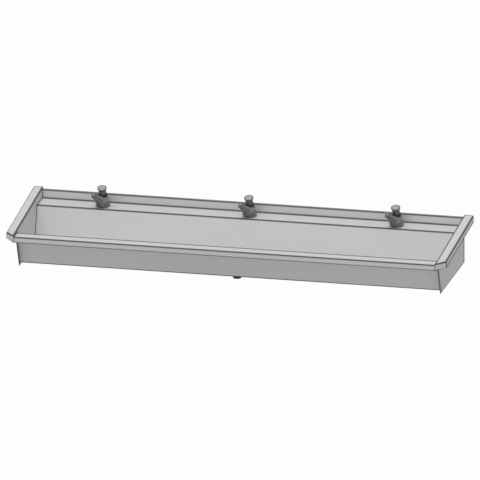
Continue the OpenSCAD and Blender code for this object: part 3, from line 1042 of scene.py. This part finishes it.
    def collar(self) -> None:
        """The black collar that caps the pillar and holds the knob."""
        way_r = self.knob_neck_r + self.gap
        start = (self.bore_r, self.pillar_top)
        outline = [
            (self.bore_r, self.collar_low),
            (self.collar_r, self.collar_low),
            (self.collar_r, self.collar_high - self.collar_edge_h),
            (self.collar_r - self.collar_edge_w, self.collar_high),
            (way_r, self.collar_high),
            (way_r, self.pillar_top),
        ]
        profile = [start, *rounded(outline, self.collar_rounding), start]
        form = Form().spin(profile, FINE_FACES).placed(self.leaning)
        piece = form.piece(f"moulded_collar_{self.side}", self.finishes["plastic"])
        self.model.add(piece, "trough", "black_plastic", f"collar_{self.side}")

    def nut(self) -> None:
        """The chamfered hexagon nut under the ledge."""
        low, high, bevel = self.nut_low, self.nut_high, self.nut_bevel
        turn = Matrix.Rotation(math.radians(self.nut_turn), 4, "Z")
        foot = Matrix.Translation((0.0, 0.0, low)) @ turn
        blank = Form().cylinder(self.nut_r, self.nut_r, high - low, foot, sides=6)
        piece = blank.placed(self.upright).piece(f"hex_nut_{self.side}", self.finishes["brass"])
        bore_r = self.shank_r + self.nut_gap
        turned = Form().spin(
            [
                (bore_r, low),
                (self.nut_r - 2 * bevel, low),
                (self.nut_r, low + bevel),
                (self.nut_r, high - bevel),
                (self.nut_r - 2 * bevel, high),
                (bore_r, high),
                (bore_r, low),
            ]
        )
        cutter = turned.placed(self.upright).piece("cutter", self.finishes["brass"])
        combined(piece, "INTERSECT", cutter)
        smoothed(piece.data, self.nut_angle)
        self.model.add(piece, "trough", "brass", f"shank_nut_{self.side}")

    def shank_thread(self) -> None:
        """The pipe thread on the shank, below the nut."""
        root_r = self.shank_r - THREAD_ROOT
        low, high = self.shank_low + self.thread_low_gap, self.nut_low - self.thread_high_gap
        form = Form().thread(root_r, self.thread_h, self.thread_pitch, low, high)
        piece = form.placed(self.upright).piece(f"shank_thread_{self.side}", self.finishes["tap"])
        self.model.add(piece, "trough", "tap_metal")

    def build(self) -> None:
        """Builds the tap's pieces."""
        self.spout()
        self.knob()
        self.collar()
        self.nut()
        self.shank_thread()


@dataclass
class Welds:
    """The beads that join the trough to its end panels, and the thread on the waste's tail."""

    model: Model
    steel: bpy.types.Material
    plastic: bpy.types.Material
    bead_r: float = 1.8 * MM
    bead_inset: float = 0.7 * MM
    bead_bend: float = 4 * MM
    bead_bend_steps: int = 6
    bead_sides: int = 6
    ripple: float = 4 * MM
    ripple_steps: int = 4
    ripple_share: float = 0.1
    section: tuple[tuple[float, float], ...] = (
        (-20.5, 33.0),
        (-20.5, 0.4),
        (-118.0, 0.4),
        (-160.0, -147.6),
        (-415.0, -147.6),
        (-478.0, -5.6),
        (-536.0, -5.6),
    )
    tail_r: float = 16.6 * MM
    tail_low: float = -189.5 * MM
    tail_high: float = -173 * MM
    thread_h: float = 1 * MM
    thread_pitch: float = 2.3 * MM
    thread_low_gap: float = 1 * MM
    waste_y: float = -300 * MM

    def bead(self, side: str, sign: float) -> None:
        """One bead along the trough's section."""
        beside = sign * (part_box("trough_shell")[1].x - self.bead_inset)
        corners = [(y * MM, z * MM) for y, z in self.section]
        line = rounded(corners, self.bead_bend, self.bead_bend_steps)
        path: list[Vector] = []
        for start, end in zip(line, line[1:]):
            first, last = Vector((beside, *start)), Vector((beside, *end))
            count = max(1, int((last - first).length / (self.ripple / self.ripple_steps)))
            path.extend(first.lerp(last, index / count) for index in range(count))
        path.append(Vector((beside, *line[-1])))
        waves = [math.sin(math.tau * index / self.ripple_steps) for index in range(len(path))]
        share = self.ripple_share
        radii = [self.bead_r * (1.0 - share + 2.0 * share * wave) for wave in waves]
        form = Form().tube(path, radii, self.bead_sides, Vector((1.0, 0.0, 0.0)))
        self.model.add(form.piece(f"weld_bead_{side}", self.steel), "trough", "stainless")

    def tail_thread(self) -> None:
        """The thread on the waste's tail."""
        root_r, low = self.tail_r - THREAD_ROOT, self.tail_low + self.thread_low_gap
        form = Form().thread(root_r, self.thread_h, self.thread_pitch, low, self.tail_high)
        form.placed(Matrix.Translation((0.0, self.waste_y, 0.0)))
        self.model.add(form.piece("tail_thread", self.plastic), "trough", "black_plastic")

    def build(self) -> None:
        """Builds both beads and the thread."""
        self.bead("left", -1.0)
        self.bead("right", 1.0)
        self.tail_thread()


@dataclass
class Studio:
    """Camera, lamp, floor and background."""

    azimuth: float = 12.65
    elevation: float = 17.4
    metres_per_pixel: float = 3.988 * MM
    picture: int = 480
    origin_px: tuple[float, float] = (253.7, 210.4)
    floor_z: float = -1.3
    floor_tone: float = 0.52
    floor_size: float = 30.0
    floor_white: float = 0.97
    sun_direction: tuple[float, float, float] = (-0.06, -0.27, 0.96)
    sun_strength: float = 1.28
    sun_angle: float = 45.0
    ambient: float = 0.34
    distance: float = 6.0

    def camera(self) -> None:
        """Places an orthographic camera that sees the origin at its pixel in the photograph."""
        azimuth, elevation = math.radians(self.azimuth), math.radians(self.elevation)
        right = Vector((math.cos(azimuth), math.sin(azimuth), 0.0))
        back = Vector(
            (
                math.sin(azimuth) * math.cos(elevation),
                -math.cos(azimuth) * math.cos(elevation),
                math.sin(elevation),
            )
        )
        up = back.cross(right)
        half = self.picture / 2
        across = (half - self.origin_px[0]) * self.metres_per_pixel
        down = (half - self.origin_px[1]) * self.metres_per_pixel
        data = bpy.data.cameras.new("camera")
        data.type = "ORTHO"
        data.ortho_scale = self.picture * self.metres_per_pixel
        camera = bpy.data.objects.new("camera", data)
        axes = Matrix((right, up, back)).transposed().to_4x4()
        axes.translation = right * across - up * down + back * self.distance
        camera.matrix_world = axes
        bpy.context.scene.collection.objects.link(camera)
        bpy.context.scene.camera = camera

    def lamps(self) -> None:
        """Adds one broad soft lamp above and in front."""
        data = bpy.data.lights.new("soft_lamp", "SUN")
        data.energy = self.sun_strength
        data.angle = math.radians(self.sun_angle)
        lamp = bpy.data.objects.new("soft_lamp", data)
        lamp.rotation_euler = Vector(self.sun_direction).to_track_quat("Z", "Y").to_euler()
        bpy.context.scene.collection.objects.link(lamp)

    def background(self) -> None:
        """Makes the world white to the camera and in reflections, and plain grey as light."""
        world = bpy.data.worlds.new("studio")
        bpy.context.scene.world = world
        nodes = Nodes(world)
        light = nodes.node("ShaderNodeBackground", Color=WHITE, Strength=self.ambient)
        white = nodes.node("ShaderNodeBackground", Color=WHITE, Strength=1.0)
        nodes.ends("ShaderNodeOutputWorld", nodes.seen_or_lighting(light, white, 1.0))

    def floor(self) -> None:
        """Adds a pale floor that looks white, keeps a faint shadow and sends soft light back up."""
        shader = Shader("floor")
        matt = shader.node("ShaderNodeBsdfDiffuse", Color=(*(self.floor_tone,) * 3, 1.0))
        glow = shader.node("ShaderNodeEmission", Color=WHITE, Strength=1.0)
        mixed = shader.seen_or_lighting(matt, glow, self.floor_white)
        shader.ends("ShaderNodeOutputMaterial", mixed)
        form = Form()
        bmesh.ops.create_grid(form.mesh, x_segments=1, y_segments=1, size=self.floor_size)
        form.placed(Matrix.Translation((0.0, 0.0, self.floor_z)))
        form.piece("floor", shader.material)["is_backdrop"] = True

    def build(self) -> None:
        """Builds the studio."""
        bpy.context.scene.view_settings.view_transform = "Standard"
        self.camera()
        self.lamps()
        self.background()
        self.floor()


@dataclass
class SmallParts:
    """Finishes for the CAD nodes that keep their own meshes."""

    model: Model
    zinc: Spangled = Spangled("zinc_coat", (0.42, 0.43, 0.45))
    rubber: Moulded = Moulded("rubber", (0.03, 0.03, 0.03), 0.7)
    plastic: Moulded = Moulded("black_plastic", (0.012, 0.012, 0.012), 0.45)
    brass: CastMetal = CastMetal("brass", (0.50, 0.32, 0.12), 0.3, 0.9)
    grate: CastMetal = CastMetal("grate_steel", (0.4, 0.4, 0.4), 0.42, 0.6)
    tap: CastMetal = CastMetal("tap_metal", (0.2, 0.2, 0.2))
    wire: CastMetal = CastMetal("spring_wire", (0.4, 0.4, 0.4), 0.3, 0.8)

    def build(self) -> dict[str, bpy.types.Material]:
        """Dresses every small node and gives the finishes by name."""
        finishes = {
            self.zinc.build(): ("hanging_rail", "stiffener_front", "stiffener_back"),
            self.grate.build(): ("waste_grate", "grate_screw"),
        }
        rubber, plastic = self.rubber.build(), self.plastic.build()
        brass, tap = self.brass.build(), self.tap.build()
        middle, end = (self.model.joint(f"turn_{side}") for side in ("centre", "right"))
        pitch = end["pos_m"][0] - middle["pos_m"][0]
        pivot, axis = tuple(middle["pos_m"]), tuple(middle["axis"])
        knob = TurnedKnob("knob_metal", pivot, axis, pitch).build()
        per_tap = {
            "tap_foot": tap,
            "spout": tap,
            "foot_gasket": rubber,
            "swivel_seals": rubber,
            "shank_washer": rubber,
            "collar": plastic,
            "push_knob": knob,
            "knob_stem": brass,
            "valve_cartridge": brass,
            "shank_nut": brass,
            "return_spring": self.wire.build(),
            "spout_nozzle": tap,
        }
        for material, nodes in finishes.items():
            for node in nodes:
                self.model.dress(node, material)
        for node in ("grate_gasket", "body_gasket"):
            self.model.dress(node, rubber)
        self.model.dress("waste_body", plastic)
        for side in SIDES:
            for node, material in per_tap.items():
                self.model.dress(f"{node}_{side}", material)
        return {"tap": tap, "knob": knob, "plastic": plastic, "brass": brass}


def main() -> None:
    """Builds the scene."""
    logging.basicConfig(level=logging.INFO, format="%(message)s")
    model = Model()
    Studio().build()
    Sheetwork(model).build()
    finishes = SmallParts(model).build()
    for side in SIDES:
        Tap(model, side, finishes).build()
    weld = CastMetal("weld_metal", (0.05, 0.05, 0.05), 0.5).build()
    Welds(model, weld, finishes["plastic"]).build()


if __name__ == "__main__":
    main()
